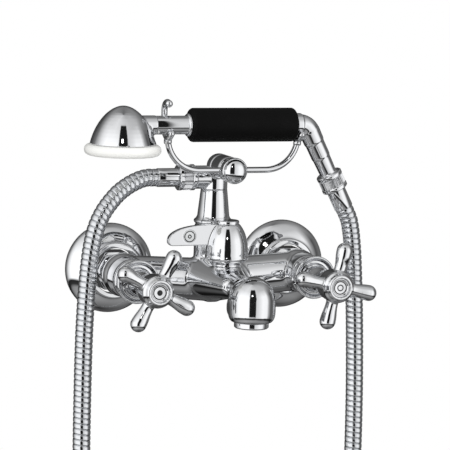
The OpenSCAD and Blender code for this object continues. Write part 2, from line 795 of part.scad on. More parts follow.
module riser_seal() color(rubber) upward(0, arm_front)
    seal_ring(spigot_r - riser_seal_minor_r / 2, riser_seal_minor_r / 2, riser_seal_z);

module outlet_tee() color(chrome) difference() {
    union() {
        upward(0, arm_front) turned(concat(
            [[0, column_top], [column_r, column_top]],
            arc([0, outlet_height], column_r, 0, 84, 7),
            [[0, outlet_height + column_r]]
        ));
        forward(0, cradle_height) turned(concat(
            [[0, boss_start]],
            [for (a = [0:15:90]) [
                boss_r - boss_round_r * (1 - sin(a)),
                boss_start + boss_round_h * (1 - cos(a)),
            ]],
            [[boss_r, boss_end - 20], [boss_r - 0.7, boss_end - 19.4]],
            [[boss_r - 0.7, boss_end - 18.4], [boss_r, boss_end - 17.8], [boss_r, boss_end - 2.4]],
            [[boss_r - 1, boss_end], [0, boss_end]]
        ));
        leftward(arm_front, outlet_height) {
            rod(stub_r, 0, outlet_nut_x);
            rod(hose_thread_r, 0, outlet_nut_x + hose_thread_len);
        }
    }
    upward(0, arm_front) rod(riser_bore_r, column_top - past, outlet_height);
    leftward(arm_front, outlet_height) rod(hose_bore_r + 0.5, 0, outlet_nut_x + hose_thread_len + past);
    forward(0, cradle_height) rod(stud_r + push_gap, stud_from, boss_end + past);
}

module cradle_stud() color(brass) forward(0, cradle_height) rod(stud_r, stud_from, stud_to);

// A claw holds a round neck of radius held_r: a saddle round its underside, and a back prong
module claw(held_r, hooked) {
    saddle_r = held_r + rod_r + claw_gap;
    back_x = cradle_front - saddle_r;
    back_top = handset_height + (hooked ? hook_rise : 3);
    translate([cradle_front, handset_height, 0]) {
        rotate_extrude(start = 180, angle = 90 + front_prong_turn, $fn = round_fn)
            translate([saddle_r, 0]) circle(r = rod_r, $fn = small_fn);
        rotate([0, 0, front_prong_turn - 90]) translate([saddle_r, 0, 0])
            sphere(r = tip_ball_r, $fn = small_fn);
        translate([0, -saddle_r - knuckle_drop, 0]) rotate([-90, 0, 0]) turned([
            [0, -knuckle_h], [knuckle_r - 0.5, -knuckle_h], [knuckle_r, 0.8 - knuckle_h], [knuckle_r, 0.4],
            [knuckle_r - 0.4, 1.1], [0, 1.1],
        ]);
    }
    translate([back_x, handset_height, 0]) rotate([-90, 0, 0]) rod(rod_r, 0, back_top - handset_height);
    if (hooked) translate([back_x + hook_r, back_top, 0]) {
        rotate_extrude(start = 90 - hook_past_top, angle = 90 + hook_past_top, $fn = round_fn)
            translate([hook_r, 0]) circle(r = rod_r, $fn = small_fn);
        rotate([0, 0, 90 - hook_past_top]) translate([hook_r, 0, 0]) sphere(r = hook_ball_r, $fn = small_fn);
    }
    else translate([back_x, back_top, 0]) sphere(r = tip_ball_r, $fn = small_fn);
}

// One fork arm to the right: straight out of the hub, then bent up to its claw
module fork_arm(held_r) {
    knuckle_z = handset_height - held_r - rod_r - claw_gap - knuckle_drop;
    turn = acos(1 - (knuckle_z - cradle_height) / fork_bend_r);
    bend_x = claw_x - fork_bend_r * sin(turn);
    rightward(cradle_front, cradle_height) rod(rod_r, 5, bend_x);
    forward(bend_x, cradle_height + fork_bend_r) translate([0, 0, cradle_front])
        rotate_extrude(start = -90, angle = turn, $fn = round_fn)
            translate([fork_bend_r, 0]) circle(r = rod_r, $fn = small_fn);
}

module cradle_fork() color(chrome) {
    forward(0, cradle_height) ring(stud_r + push_gap, fork_hub_r, boss_end, nut_seat);
    fork_arm(collar_r);
    mirror([1, 0, 0]) fork_arm(tube_r);
    sideways(claw_x) claw(collar_r, false);
    sideways(-claw_x) claw(tube_r, true);
}

module cradle_nut() color(chrome) forward(0, cradle_height) difference() {
    turned(concat(
        [[0, nut_seat], [dome_nut_r - 0.6, nut_seat], [dome_nut_r, nut_seat + 0.6]],
        [[dome_nut_r, nut_seat + nut_collar_t - 0.6], [dome_nut_r - 0.6, nut_seat + nut_collar_t]],
        dome_curve(nut_dome_r, 5.6, nut_seat + nut_collar_t, 0.01, 10),
        [[0, nut_seat + nut_collar_t + 5.6]]
    ));
    rod(stud_r + push_gap, nut_seat - past, stud_to + 0.3);
}

// Hose and its fittings

// Local Z leaves the outlet tee, from the back of the hose nut
module at_outlet() leftward(arm_front, outlet_height) translate([0, 0, outlet_nut_x]) children();

// Local Z leaves the handset's tail, from the back of the hose nut
module at_tail() translate([elbow_out[0], -cradle_front, elbow_out[1]])
    rotate([0, 90 + elbow_turn, 0]) translate([0, 0, tail_len]) children();

module hose_nut() color(chrome) difference() {
    band = 3.4;
    union() {
        for (from = [0, hose_nut_len - band]) translate([0, 0, from]) turned([
            [0, 0], [hose_nut_r - 0.7, 0], [hose_nut_r, 0.7], [hose_nut_r, band - 0.5],
            [hose_nut_r - 0.5, band], [0, band],
        ]);
        rod(hose_nut_r - 0.6, band - 1, hose_nut_len - band + 1);
    }
    rod(hose_thread_r + push_gap, -past, hose_nut_len - nut_end_wall);
    rod(ferrule_neck_r + push_gap, 0, hose_nut_len + past);
}

module hose_washer() color(rubber)
    ring(hose_bore_r + 0.5, hose_thread_r - 0.1, hose_thread_len, hose_thread_len + hose_washer_t);

module hose_ferrule() color(chrome) {
    flange_at = hose_thread_len + hose_washer_t;
    flange_end = hose_nut_len - nut_end_wall - 0.1;
    flange_r = hose_thread_r - 0.1;
    sleeve_at = fitting_len - ferrule_len;
    turned([
        [hose_bore_r, flange_at], [flange_r, flange_at], [flange_r, flange_end], [ferrule_neck_r, flange_end],
        [ferrule_neck_r, sleeve_at], [ferrule_r - 0.5, sleeve_at], [ferrule_r, sleeve_at + 0.6],
        [ferrule_r, fitting_len - 0.5], [ferrule_r - 0.3, fitting_len], [hose_bore_r, fitting_len],
    ]);
}

// A point on the smooth curve through the route, in the stretch after point i
function route_at(i, t) =
    let (
        last = len(hose_route) - 1,
        a = hose_route[max(i - 1, 0)],
        b = hose_route[i],
        c = hose_route[min(i + 1, last)],
        d = hose_route[min(i + 2, last)]
    )
    0.5 * (2 * b + (c - a) * t + (2 * a - 5 * b + 4 * c - d) * t * t + (3 * b - a - 3 * c + d) * t * t * t);

hose_line = [for (i = [0:len(hose_route) - 2], k = [0:hose_samples - 1]) route_at(i, k / hose_samples),
    hose_route[len(hose_route) - 1]];
hose_run = [for (i = 0, s = 0; i < len(hose_line);
    s = s + (i + 1 < len(hose_line) ? norm(hose_line[i + 1] - hose_line[i]) : 0), i = i + 1) s];
hose_len = hose_run[len(hose_run) - 1];
hose_axes = [for (axis = [0:2]) [for (i = [0:len(hose_line) - 1]) [hose_run[i], hose_line[i][axis]]]];

function on_hose(s) = [for (axis = [0:2]) lookup(s, hose_axes[axis])];

// A ring of points round the hose at length s
function hose_ring(s, r) =
    let (
        near = 0.4,
        ahead = on_hose(min(s + near, hose_len)) - on_hose(max(s - near, 0)),
        t = ahead / norm(ahead),
        side_way = cross(t, [0, 1, 0]),
        u = side_way / norm(side_way),
        v = cross(t, u)
    )
    [for (k = [0:hose_sides - 1]) let (a = 360 * k / hose_sides) on_hose(s) + r * (cos(a) * u + sin(a) * v)];

// Triangles between two rings of points that start at a and b; flip turns the skin inside out
function skin(a, b, flip) = [
    for (k = [0:hose_sides - 1]) let (n = (k + 1) % hose_sides)
        each flip
            ? [[a + k, a + n, b + n], [a + k, b + n, b + k]]
            : [[a + k, b + n, a + n], [a + k, b + k, b + n]],
];

module shower_hose() color(chrome) {
    outer_count = 2 * hose_ribs;
    inner_count = outer_count / hose_bore_step;
    pitch = hose_len / outer_count;
    outer = [for (i = [0:outer_count]) each hose_ring(i * pitch, i % 2 == 1 ? hose_r : hose_groove_r)];
    inner = [for (i = [0:inner_count]) each hose_ring(i * pitch * hose_bore_step, hose_bore_r)];
    inner_at = len(outer);
    polyhedron(
        points = concat(outer, inner),
        faces = concat(
            [for (i = [0:outer_count - 1]) each skin(i * hose_sides, (i + 1) * hose_sides, false)],
            [for (i = [0:inner_count - 1])
                each skin(inner_at + i * hose_sides, inner_at + (i + 1) * hose_sides, true)],
            skin(inner_at, 0, false),
            skin(outer_count * hose_sides, inner_at + inner_count * hose_sides, false)
        )
    );
}

// The least gap between stretches of the hose that lie over a quarter of its length apart
hose_gap = min([for (i = [0:6:len(hose_line) - 1], j = [i:6:len(hose_line) - 1])
    if (hose_run[j] - hose_run[i] > hose_len / 4) norm(hose_line[j] - hose_line[i])]) - 2 * hose_r;
echo(hose_length_mm = hose_len, hose_least_gap_mm = hose_gap);

// Handset

// The bell's outline from its rim (t = 0) to its crown (t = 1): a dome that is a little slimmer than round
function bell_point(t, wall) = [
    max(bell_r * (cos(90 * t) - 0.4 * t * (1 - t)) - wall, 0),
    head_z + (bell_h - wall) * sin(90 * t),
];

module handset_head() color(chrome) difference() {
    union() {
        upward(-head_x, cradle_front) turned(concat(
            [[0, head_z]],
            [for (i = [0:14]) bell_point(i / 14, 0)]
        ));
        upward(fairing_x - head_x, cradle_front) turned([
            [0, head_z], [fairing_r + 3.6, head_z], [fairing_r + 2.2, head_z + 3], [fairing_r + 1, head_z + 7],
            [fairing_r, handset_height], [0, handset_height],
        ]);
        rightward(cradle_front, handset_height) rod(socket_r, -head_x, socket_end);
    }
    upward(-head_x, cradle_front) turned(concat(
        [[0, head_z - past], [bell_r - bell_wall, head_z - past]],
        [for (i = [0:8]) bell_point(0.7 * i / 8, bell_wall)],
        [[0, bell_point(0.7, bell_wall)[1]]]
    ));
    rightward(cradle_front, handset_height) {
        rod(tube_spigot_r - 1, -head_x, socket_end);
        rod(tube_spigot_r + push_gap, socket_end - tube_inside, socket_end + past);
    }
}

module handset_rim() color(white) upward(-head_x, cradle_front) turned(concat(
    [[plate_r + push_gap, head_z - rim_t], [rim_r - rim_t / 2, head_z - rim_t]],
    arc([rim_r - rim_t / 2, head_z - rim_t / 2], rim_t / 2, -80, 80, 10),
    [[rim_r - rim_t / 2, head_z], [bell_r - 5, head_z], [bell_r - 5, plate_top]],
    [[plate_r + push_gap, plate_top]]
));

module handset_gasket() color(rubber) upward(-head_x, cradle_front)
    ring(bell_r - 8, bell_r - 5.2, head_z - gasket_t, head_z);

module handset_spray_plate() color(white) upward(-head_x, cradle_front) difference() {
    turned([
        [0, plate_top - plate_t], [plate_r - 1.5, plate_top - plate_t], [plate_r, plate_top - plate_t + 1],
        [plate_r, plate_top], [0, plate_top],
    ]);
    for (orbit = [1:plate_rings], i = [0:6 * orbit - 1]) rotate([0, 0, 60 * i / orbit])
        translate([orbit * plate_r / (plate_rings + 0.6), 0, 0])
            rod(plate_hole_r, plate_top - plate_t - past, plate_top + past);
}

module handset_tube() color(chrome) rightward(cradle_front, handset_height) turned([
    [tube_spigot_r - 1, socket_end - tube_inside + 0.2], [tube_spigot_r, socket_end - tube_inside + 0.2],
    [tube_spigot_r, socket_end], [tube_r, socket_end], [tube_r, tube_end], [tube_bore_r, tube_end],
    [tube_bore_r, socket_end + 2], [tube_spigot_r - 1, socket_end + 1],
]);

module handset_collar() color(chrome) rightward(cradle_front, handset_height) turned([
    [tube_r + push_gap, grip_start - front_collar_t], [front_collar_r - 1, grip_start - front_collar_t],
    [front_collar_r, grip_start - front_collar_t + 1], [front_collar_r, grip_start],
    [tube_r + push_gap, grip_start],
]);

module handset_grip() color(black) rightward(cradle_front, handset_height) {
    corner = 2.8;
    turned(concat(
        [[tube_r + push_gap, grip_start]],
        arc([grip_r - corner, grip_start + corner], corner, -90, 0, 6),
        arc([grip_r - corner, grip_end - corner], corner, 0, 90, 6),
        [[tube_r + push_gap, grip_end]]
    ));
}

module handset_elbow() color(chrome) difference() {
    union() {
        rightward(cradle_front, handset_height) {
            rod(tube_bore_r - push_gap, tube_end - 8, grip_end + past);
            turned([
                [0, grip_end], [collar_r - 0.6, grip_end], [collar_r, grip_end + 0.6],
                [collar_r, collar_end - 0.5], [collar_r - 0.5, collar_end], [0, collar_end],
            ]);
        }
        forward(elbow_start, handset_height - elbow_bend_r) translate([0, 0, cradle_front])
            rotate_extrude(start = 90 - elbow_turn, angle = elbow_turn, $fn = round_fn)
                translate([elbow_bend_r, 0]) circle(r = elbow_r, $fn = round_fn);
        translate([elbow_out[0], -cradle_front, elbow_out[1]]) rotate([0, 90 + elbow_turn, 0]) {
            turned([
                [0, -0.6], [elbow_r + 0.2, -0.6],
                [tail_root_r + 0.1, tail_seam], [tail_root_r - 0.4, tail_seam + 0.5],
                [tail_step_r + 0.2, tail_step], [tail_step_r - 0.2, tail_step + 0.4],
                [tail_tip_r + 0.1, tail_len - 0.4], [0, tail_len - 0.4],
            ]);
            rod(hose_thread_r, tail_len, tail_len + hose_thread_len);
            rod(tail_tip_r - 0.2, tail_len - past, tail_len + past);
        }
    }
    rightward(cradle_front, handset_height) rod(hose_bore_r - 0.5, tube_end - 8 - past, elbow_start);
    translate([elbow_out[0], -cradle_front, elbow_out[1]]) rotate([0, 90 + elbow_turn, 0])
        rod(hose_bore_r - 0.5, 0, tail_len + hose_thread_len + past);
    forward(elbow_start, handset_height - elbow_bend_r) translate([0, 0, cradle_front])
        rotate_extrude(start = 90 - elbow_turn, angle = elbow_turn, $fn = round_fn)
            translate([elbow_bend_r, 0]) circle(r = hose_bore_r - 0.5, $fn = small_fn);
}

eccentric_union(-1);  // hot_eccentric_union
eccentric_union(1);  // cold_eccentric_union
rosette(-1);  // hot_rosette
rosette(1);  // cold_rosette
union_nut(-1);  // hot_union_nut
union_nut(1);  // cold_union_nut
union_washer(-1);  // hot_union_washer
union_washer(1);  // cold_union_washer
mixer_body();
headwork(-1);  // hot_headwork
headwork(1);  // cold_headwork
fixed_disc(-1);  // hot_fixed_disc
fixed_disc(1);  // cold_fixed_disc
shroud(-1);  // hot_shroud
shroud(1);  // cold_shroud
moving_disc(-1);  // hot_moving_disc
moving_disc(1);  // cold_moving_disc
spindle(-1);  // hot_spindle
spindle(1);  // cold_spindle
spindle_seal(-1);  // hot_spindle_seal
spindle_seal(1);  // cold_spindle_seal
handle(-1, hot_rest_turn);  // hot_handle
handle(1, cold_rest_turn);  // cold_handle
handle_screw(-1);  // hot_handle_screw
handle_screw(1);  // cold_handle_screw
index_button(-1);  // hot_index_button
index_button(1);  // cold_index_button
aerator_ring();
aerator_insert();
aerator_seal();
diverter_bonnet();
diverter_spool();
diverter_spindle();
diverter_seal();
diverter_handle();
diverter_cap();
diverter_inlay();
riser_column();
riser_seal();
outlet_tee();
cradle_stud();
cradle_fork();
cradle_nut();
at_outlet() hose_nut();  // outlet_hose_nut
at_outlet() hose_washer();  // outlet_hose_washer
at_outlet() hose_ferrule();  // outlet_hose_ferrule
shower_hose();
at_tail() hose_nut();  // handset_hose_nut
at_tail() hose_washer();  // handset_hose_washer
at_tail() hose_ferrule();  // handset_hose_ferrule
handset_head();
handset_rim();
handset_gasket();
handset_spray_plate();
handset_tube();
handset_collar();
handset_grip();
handset_elbow();
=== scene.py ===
"""Looks of a wall bath shower mixer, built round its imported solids.

The frame is the solids' own: metres, X to the right, Y into the wall, Z up, with the origin on the wall midway
between the inlets. Sizes in this file are written in millimetres and turned to metres by MM.
"""

import json
import logging
import math
from dataclasses import dataclass, field
from enum import Enum
from typing import Any, Sequence

import bpy
import numpy as np
from mathutils import Matrix, Vector

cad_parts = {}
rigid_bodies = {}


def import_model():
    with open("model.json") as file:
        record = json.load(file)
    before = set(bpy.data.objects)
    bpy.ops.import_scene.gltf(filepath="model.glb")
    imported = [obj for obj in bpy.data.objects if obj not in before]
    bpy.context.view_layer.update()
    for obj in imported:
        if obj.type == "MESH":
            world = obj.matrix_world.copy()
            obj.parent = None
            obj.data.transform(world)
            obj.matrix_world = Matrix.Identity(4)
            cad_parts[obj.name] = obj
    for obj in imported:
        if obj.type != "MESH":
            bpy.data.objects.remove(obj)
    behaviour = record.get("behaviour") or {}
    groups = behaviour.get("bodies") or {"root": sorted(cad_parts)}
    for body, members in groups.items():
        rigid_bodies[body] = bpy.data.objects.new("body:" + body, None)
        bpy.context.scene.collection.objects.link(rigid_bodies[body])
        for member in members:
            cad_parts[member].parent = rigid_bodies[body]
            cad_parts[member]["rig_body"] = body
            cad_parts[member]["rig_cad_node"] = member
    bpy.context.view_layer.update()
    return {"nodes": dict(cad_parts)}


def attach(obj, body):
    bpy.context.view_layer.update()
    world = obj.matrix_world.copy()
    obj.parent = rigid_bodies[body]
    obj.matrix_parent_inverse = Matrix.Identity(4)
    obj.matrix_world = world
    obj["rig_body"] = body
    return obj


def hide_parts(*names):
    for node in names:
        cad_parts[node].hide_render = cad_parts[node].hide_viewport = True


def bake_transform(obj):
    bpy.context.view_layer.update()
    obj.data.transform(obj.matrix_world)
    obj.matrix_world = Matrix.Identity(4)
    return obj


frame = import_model()

MM = 0.001
# Widths of broken edges: the usual one, that of thin pieces, and none on rounds that have no edges
BROKEN_EDGE, FINE_EDGE, NO_EDGE = 0.25, 0.1, 0.0
# Points closer than this are one, and faces that meet at less than this angle in degrees are one flat face
MERGE_DISTANCE, FLAT_ANGLE = 0.002, 0.4
# Sockets of a Mix node that mixes colours
MIX_FACTOR, MIX_A, MIX_B, MIX_OUT = 0, 6, 7, 2
log = logging.getLogger("mixer")


def linear_grey(value: float) -> float:
    """Turns one sRGB channel, 0 to 1, into linear light."""
    return value / 12.92 if value <= 0.04045 else ((value + 0.055) / 1.055) ** 2.4


def linear(colour: str) -> tuple[float, float, float, float]:
    """Turns an sRGB hex colour into linear light.

    Args:
        colour: Six hex digits after a hash sign.

    Returns:
        Linear red, green, blue and an alpha of 1.
    """
    return (*[linear_grey(int(colour[i:i + 2], 16) / 255) for i in (1, 3, 5)], 1.0)


def add_node(tree: bpy.types.NodeTree, kind: str, settings: dict[str | int, Any] | None = None,
             links: dict[str | int, bpy.types.NodeSocket] | None = None) -> bpy.types.Node:
    """Adds a shader node with its settings and links.

    Args:
        tree: The node tree.
        kind: The node's type name.
        settings: Input sockets by name or number, or properties of the node.
        links: Input sockets by name or number, with the output that feeds each.

    Returns:
        The new node.
    """
    node = tree.nodes.new(kind)
    for key, value in (settings or {}).items():
        if isinstance(key, int) or key in node.inputs:
            node.inputs[key].default_value = value
        else:
            setattr(node, key, value)
    for key, source in (links or {}).items():
        tree.links.new(source, node.inputs[key])
    return node


class Side(Enum):
    """The two supplies, named as the solids are."""

    HOT = "hot"
    COLD = "cold"


class Body(Enum):
    """The rigid bodies that pieces ride on."""

    MIXER = "mixer"
    HOT = "hot_valve"
    COLD = "cold_valve"
    DIVERTER = "diverter"
    HANDSET = "handset"


@dataclass(frozen=True)
class Finish:
    """A surface finish: what it is made of and how its surface came about.

    grain_mm is the size of the surface's own unevenness, and smear_mm that of wipe marks and handling.
    """

    name: str
    slot: str
    colour: str
    metallic: float
    roughness: float
    ior: float = 1.5
    smear_mm: float = 18.0
    smear: float = 0.03
    grain_mm: float = 1.5
    grain: float = 0.02
    tint: float = 0.04

    def material(self) -> bpy.types.Material:
        """Gives the finish's material, made once."""
        return bpy.data.materials.get(self.name) or self.make()

    def make(self) -> bpy.types.Material:
        """Makes the material's nodes.

        Returns:
            The new material.
        """
        made = bpy.data.materials.new(self.name)
        made.use_nodes = True
        tree = made.node_tree
        tree.nodes.clear()
        place = add_node(tree, "ShaderNodeTexCoord")
        smears = add_node(tree, "ShaderNodeTexNoise", {"Scale": 1 / (self.smear_mm * MM), "Detail": 5.0},
                          {"Vector": place.outputs["Object"]})
        grain = add_node(tree, "ShaderNodeTexNoise", {"Scale": 1 / (self.grain_mm * MM), "Detail": 3.0},
                         {"Vector": place.outputs["Object"]})
        rough = add_node(tree, "ShaderNodeMapRange", {
            "From Min": 0.3, "From Max": 0.7, "To Min": max(self.roughness - self.smear, 0.02),
            "To Max": self.roughness + self.smear}, {"Value": smears.outputs["Fac"]})
        base = linear(self.colour)
        darker = tuple(c * (1 - self.tint) for c in base[:3]) + (1.0,)
        hue = add_node(tree, "ShaderNodeMix", {"data_type": "RGBA", MIX_A: darker, MIX_B: base},
                       {MIX_FACTOR: smears.outputs["Fac"]})
        bump = add_node(tree, "ShaderNodeBump", {"Strength": self.grain, "Distance": 0.1 * MM},
                        {"Height": grain.outputs["Fac"]})
        shader = add_node(tree, "ShaderNodeBsdfPrincipled", {"Metallic": self.metallic, "IOR": self.ior}, {
            "Base Color": hue.outputs[MIX_OUT], "Roughness": rough.outputs["Result"],
            "Normal": bump.outputs["Normal"]})
        add_node(tree, "ShaderNodeOutputMaterial", None, {"Surface": shader.outputs["BSDF"]})
        return made


# Bright chrome over polished cast brass: a near-perfect mirror with faint wipe marks and a trace of orange peel
CHROME = Finish("chrome_plate_on_cast_brass", "chrome_plate", "#E9EAEC", 1.0, 0.045, smear=0.02, grain_mm=2.5,
                grain=0.012)
# Chrome-plated interlocked steel strip: the same plate, a little duller, because the strip is rolled and not polished
HOSE_STEEL = Finish("chrome_plated_hose_strip", "chrome_plate", "#DADCDF", 1.0, 0.09, smear=0.03, grain_mm=1.0,
                    grain=0.02)
# Turned brass: warm and slightly matt, with fine tool marks
BRASS = Finish("machined_brass", "bare_brass", "#D9B25F", 1.0, 0.28, smear=0.06, grain_mm=0.6, grain=0.06)
# Injection-moulded ABS: glossy, with a soft unevenness from the mould
WHITE_ABS = Finish("moulded_white_abs", "white_plastic", "#F2F2EF", 0.0, 0.22, 1.53, smear=0.05, grain_mm=0.8,
                   grain=0.03, tint=0.03)
# Moulded black ABS: deep black under a soft gloss, handled often
BLACK_ABS = Finish("moulded_black_abs", "black_grip", "#030303", 0.0, 0.62, 1.25, smear_mm=26.0, smear=0.07,
                   grain_mm=0.5, grain=0.05, tint=0.3)
# Moulded rubber: matt black
RUBBER = Finish("moulded_black_rubber", "seal_rubber", "#1B1B1C", 0.0, 0.75, 1.52, grain_mm=0.5, grain=0.1)
# Lapped alumina: smooth off-white
ALUMINA = Finish("lapped_alumina", "valve_ceramic", "#EDEAE2", 0.0, 0.18, 1.76, grain=0.01)
# Satin pale inlay on the diverter's lever
INLAY = Finish("satin_pale_inlay", "white_inlay", "#D5D7D8", 0.0, 0.3, 1.5, grain_mm=0.6, grain=0.03)
# Black enamel in a sunk mark
ENAMEL = Finish("black_enamel_mark", "black_grip", "#111112", 0.0, 0.35, 1.5, grain_mm=0.4, grain=0.05)


def deselect() -> None:
    """Leaves object mode with nothing selected."""
    if bpy.context.object and bpy.context.object.mode != "OBJECT":
        bpy.ops.object.mode_set(mode="OBJECT")
    bpy.ops.object.select_all(action="DESELECT")


def pick(piece: bpy.types.Object) -> None:
    """Makes a piece the only selected and active object."""
    deselect()
    piece.select_set(True)
    bpy.context.view_layer.objects.active = piece


def apply_modifier(piece: bpy.types.Object, name: str, kind: str, **settings: Any) -> None:
    """Adds a modifier with its settings and applies it.

    Args:
        piece: The object.
        name: The modifier's name.
        kind: The modifier's type.
        settings: Properties to set on it.
    """
    pick(piece)
    modifier = piece.modifiers.new(name, kind)
    for key, value in settings.items():
        setattr(modifier, key, value)
    bpy.ops.object.modifier_apply(modifier=modifier.name)


def settle(piece: bpy.types.Object) -> None:
    """Puts a piece's place, turn and size into its mesh."""
    pick(piece)
    bpy.ops.object.transform_apply(location=True, rotation=True, scale=True)


def dress(piece: bpy.types.Object, finish: Finish, body: Body, *nodes: str) -> None:
    """Gives a piece its finish and body, and hides the solids that it stands for.

    Args:
        piece: The finished mesh.
        finish: Its finish.
        body: The body that it rides on.
        nodes: The solids that it replaces.
    """
    piece.data.materials.clear()
    piece.data.materials.append(finish.material())
    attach(piece, body.value)
    if nodes:
        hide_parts(*nodes)
    log.info("%s: %d faces, on %s", piece.name, len(piece.data.polygons), body.value)


def copy_of(node: str) -> bpy.types.Object:
    """Copies a solid into a new object whose triangles are merged.

    Args:
        node: The solid's name.

    Returns:
        The copy, which rides on nothing yet.
    """
    pick(frame["nodes"][node])
    bpy.ops.object.duplicate(linked=False)
    piece = bpy.context.object
    bpy.ops.object.parent_clear(type="CLEAR_KEEP_TRANSFORM")
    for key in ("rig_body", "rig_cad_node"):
        del piece[key]
    piece.name = node + "_finished"
    piece.data.name = piece.name
    bpy.ops.object.mode_set(mode="EDIT")
    bpy.ops.mesh.select_all(action="SELECT")
    bpy.ops.mesh.customdata_custom_splitnormals_clear()
    bpy.ops.mesh.remove_doubles(threshold=MERGE_DISTANCE * MM)
    bpy.ops.object.mode_set(mode="OBJECT")
    return piece


def turned_copy(node: str, edge: float = BROKEN_EDGE, sharp: float = 38.0) -> bpy.types.Object:
    """Copies a turned solid, breaks its sharp edges and smooths its rounds.

    Args:
        node: The solid's name.
        edge: Width of the broken edges in millimetres.
        sharp: The angle in degrees above which an edge counts as sharp.

    Returns:
        The copy.
    """
    piece = copy_of(node)
    bpy.ops.object.mode_set(mode="EDIT")
    bpy.ops.mesh.select_all(action="SELECT")
    bpy.ops.mesh.dissolve_limited(angle_limit=math.radians(FLAT_ANGLE))
    bpy.ops.object.mode_set(mode="OBJECT")
    if edge:
        apply_modifier(piece, "broken edges", "BEVEL", width=edge * MM, segments=2, limit_method="ANGLE",
                       angle_limit=math.radians(sharp), use_clamp_overlap=True)
    pick(piece)
    bpy.ops.object.shade_smooth_by_angle(angle=math.radians(sharp))
    return piece


def cast_copy(node: str, voxel: float, rounds: int, plugs: Sequence["Plug"] = ()) -> bpy.types.Object:
    """Copies a cast solid and lets its parts flow into each other with fillets, as in a casting.

    Args:
        node: The solid's name.
        voxel: The size of the new skin's cells in millimetres.
        rounds: How often the skin is smoothed; more rounds give wider fillets.
        plugs: Shapes that close the mouths of its passages or widen a joint.

    Returns:
        The copy.
    """
    piece = copy_of(node)
    made = [plug.make() for plug in plugs]
    if made:
        pick(piece)
        for plug in made:
            plug.select_set(True)
        bpy.ops.object.join()
    apply_modifier(piece, "one skin", "REMESH", mode="VOXEL", voxel_size=voxel * MM, use_smooth_shade=True)
    if made:
        keep_outer_skin(piece)
    apply_modifier(piece, "fillets", "SMOOTH", factor=0.5, iterations=rounds)
    pick(piece)
    bpy.ops.object.shade_smooth()
    return piece


def finish_turned(node: str, finish: Finish, body: Body, edge: float = BROKEN_EDGE, sharp: float = 38.0) -> None:
    """Replaces a turned solid by its finished copy.

    Args:
        node: The solid's name.
        finish: Its finish.
        body: The body that it rides on.
        edge: Width of the broken edges in millimetres.
        sharp: The angle in degrees above which an edge counts as sharp.
    """
    dress(turned_copy(node, edge, sharp), finish, body, node)


def finish_cast(node: str, body: Body, voxel: float, rounds: int, plugs: Sequence["Plug"] = ()) -> None:
    """Replaces a cast solid by its chromed copy.

    Args:
        node: The solid's name.
        body: The body that it rides on.
        voxel: The size of the new skin's cells in millimetres.
        rounds: How often the skin is smoothed.
        plugs: Shapes that are joined to it first.
    """
    dress(cast_copy(node, voxel, rounds, plugs), CHROME, body, node)


def keep_outer_skin(piece: bpy.types.Object) -> None:
    """Deletes the skins of closed hollows inside a piece."""
    pick(piece)
    far = max(range(len(piece.data.vertices)), key=lambda i: piece.data.vertices[i].co.x)
    bpy.ops.object.mode_set(mode="EDIT")
    bpy.ops.mesh.select_mode(type="VERT")
    bpy.ops.mesh.select_all(action="DESELECT")
    bpy.ops.object.mode_set(mode="OBJECT")
    piece.data.vertices[far].select = True
    bpy.ops.object.mode_set(mode="EDIT")
    bpy.ops.mesh.select_linked()
    bpy.ops.mesh.select_all(action="INVERT")
    bpy.ops.mesh.delete(type="VERT")
    bpy.ops.object.mode_set(mode="OBJECT")


@dataclass(frozen=True)
class Plug:
    """A cylinder that closes a passage's mouth, or a flat cone that widens a joint; sizes in millimetres."""

    centre: tuple[float, float, float]
    axis: str
    radius: float
    length: float
    far_radius: float = 0.0
    flat: float = 1.0

    def make(self) -> bpy.types.Object:
        """Adds the cylinder or cone.

        Returns:
            The new object.
        """
        deselect()
        turn = {"x": (0, math.pi / 2, 0), "y": (math.pi / 2, 0, 0), "z": (0, 0, 0)}[self.axis]
        bpy.ops.mesh.primitive_cone_add(vertices=64, radius1=self.radius * MM, depth=self.length * MM,
                                        radius2=(self.far_radius or self.radius) * MM,
                                        location=[c * MM for c in self.centre], rotation=turn)
        bpy.context.object.scale.y = self.flat
        settle(bpy.context.object)
        return bpy.context.object


@dataclass(frozen=True)
class Knurl:
    """A ring of fine ridges round a turned piece; sizes in millimetres, and the chamfer as a part of the height."""

    name: str
    node: str
    axis: tuple[float, float, float]
    radius: float
    start: float
    length: float
    count: int
    height: float = 0.4
    chamfer: float = 0.2

    def make(self) -> bpy.types.Object:
        """Makes one ridge, repeats it round the axis and puts the ring on its piece.

        Returns:
            The ring.
        """
        deselect()
        bpy.ops.mesh.primitive_cylinder_add(vertices=4, radius=self.height * MM, depth=self.length * MM,
                                            location=(self.radius * MM, 0, 0))
        ring = bpy.context.object
        ring.name = ring.data.name = self.name
        settle(ring)
        bpy.ops.object.mode_set(mode="EDIT")
        bpy.ops.mesh.select_all(action="SELECT")
        bpy.ops.mesh.bevel(offset=self.chamfer * self.height * MM, segments=1)
        bpy.ops.mesh.select_all(action="SELECT")
        bpy.ops.mesh.spin(steps=self.count - 1, dupli=True, angle=2 * math.pi * (self.count - 1) / self.count,
                          center=(0, 0, 0), axis=(0, 0, 1))
        bpy.ops.object.mode_set(mode="OBJECT")
        way = Vector(self.axis).normalized()
        ring.rotation_euler = way.to_track_quat("Z", "Y").to_euler()
        ring.location = self.foot(way) + (self.start + self.length / 2) * MM * way
        settle(ring)
        return ring

    def foot(self, way: Vector) -> Vector:
        """Finds where the piece's axis meets its near end.

        Args:
            way: The axis's direction.

        Returns:
            The point in metres.
        """
        solid = frame["nodes"][self.node]
        points = [solid.matrix_world @ v.co for v in solid.data.vertices]
        beside = way.orthogonal().normalized()
        sides = (beside, way.cross(beside))
        foot = way * min(p.dot(way) for p in points)
        for side in sides:
            reach = [p.dot(side) for p in points]
            foot += side * (min(reach) + max(reach)) / 2
        return foot


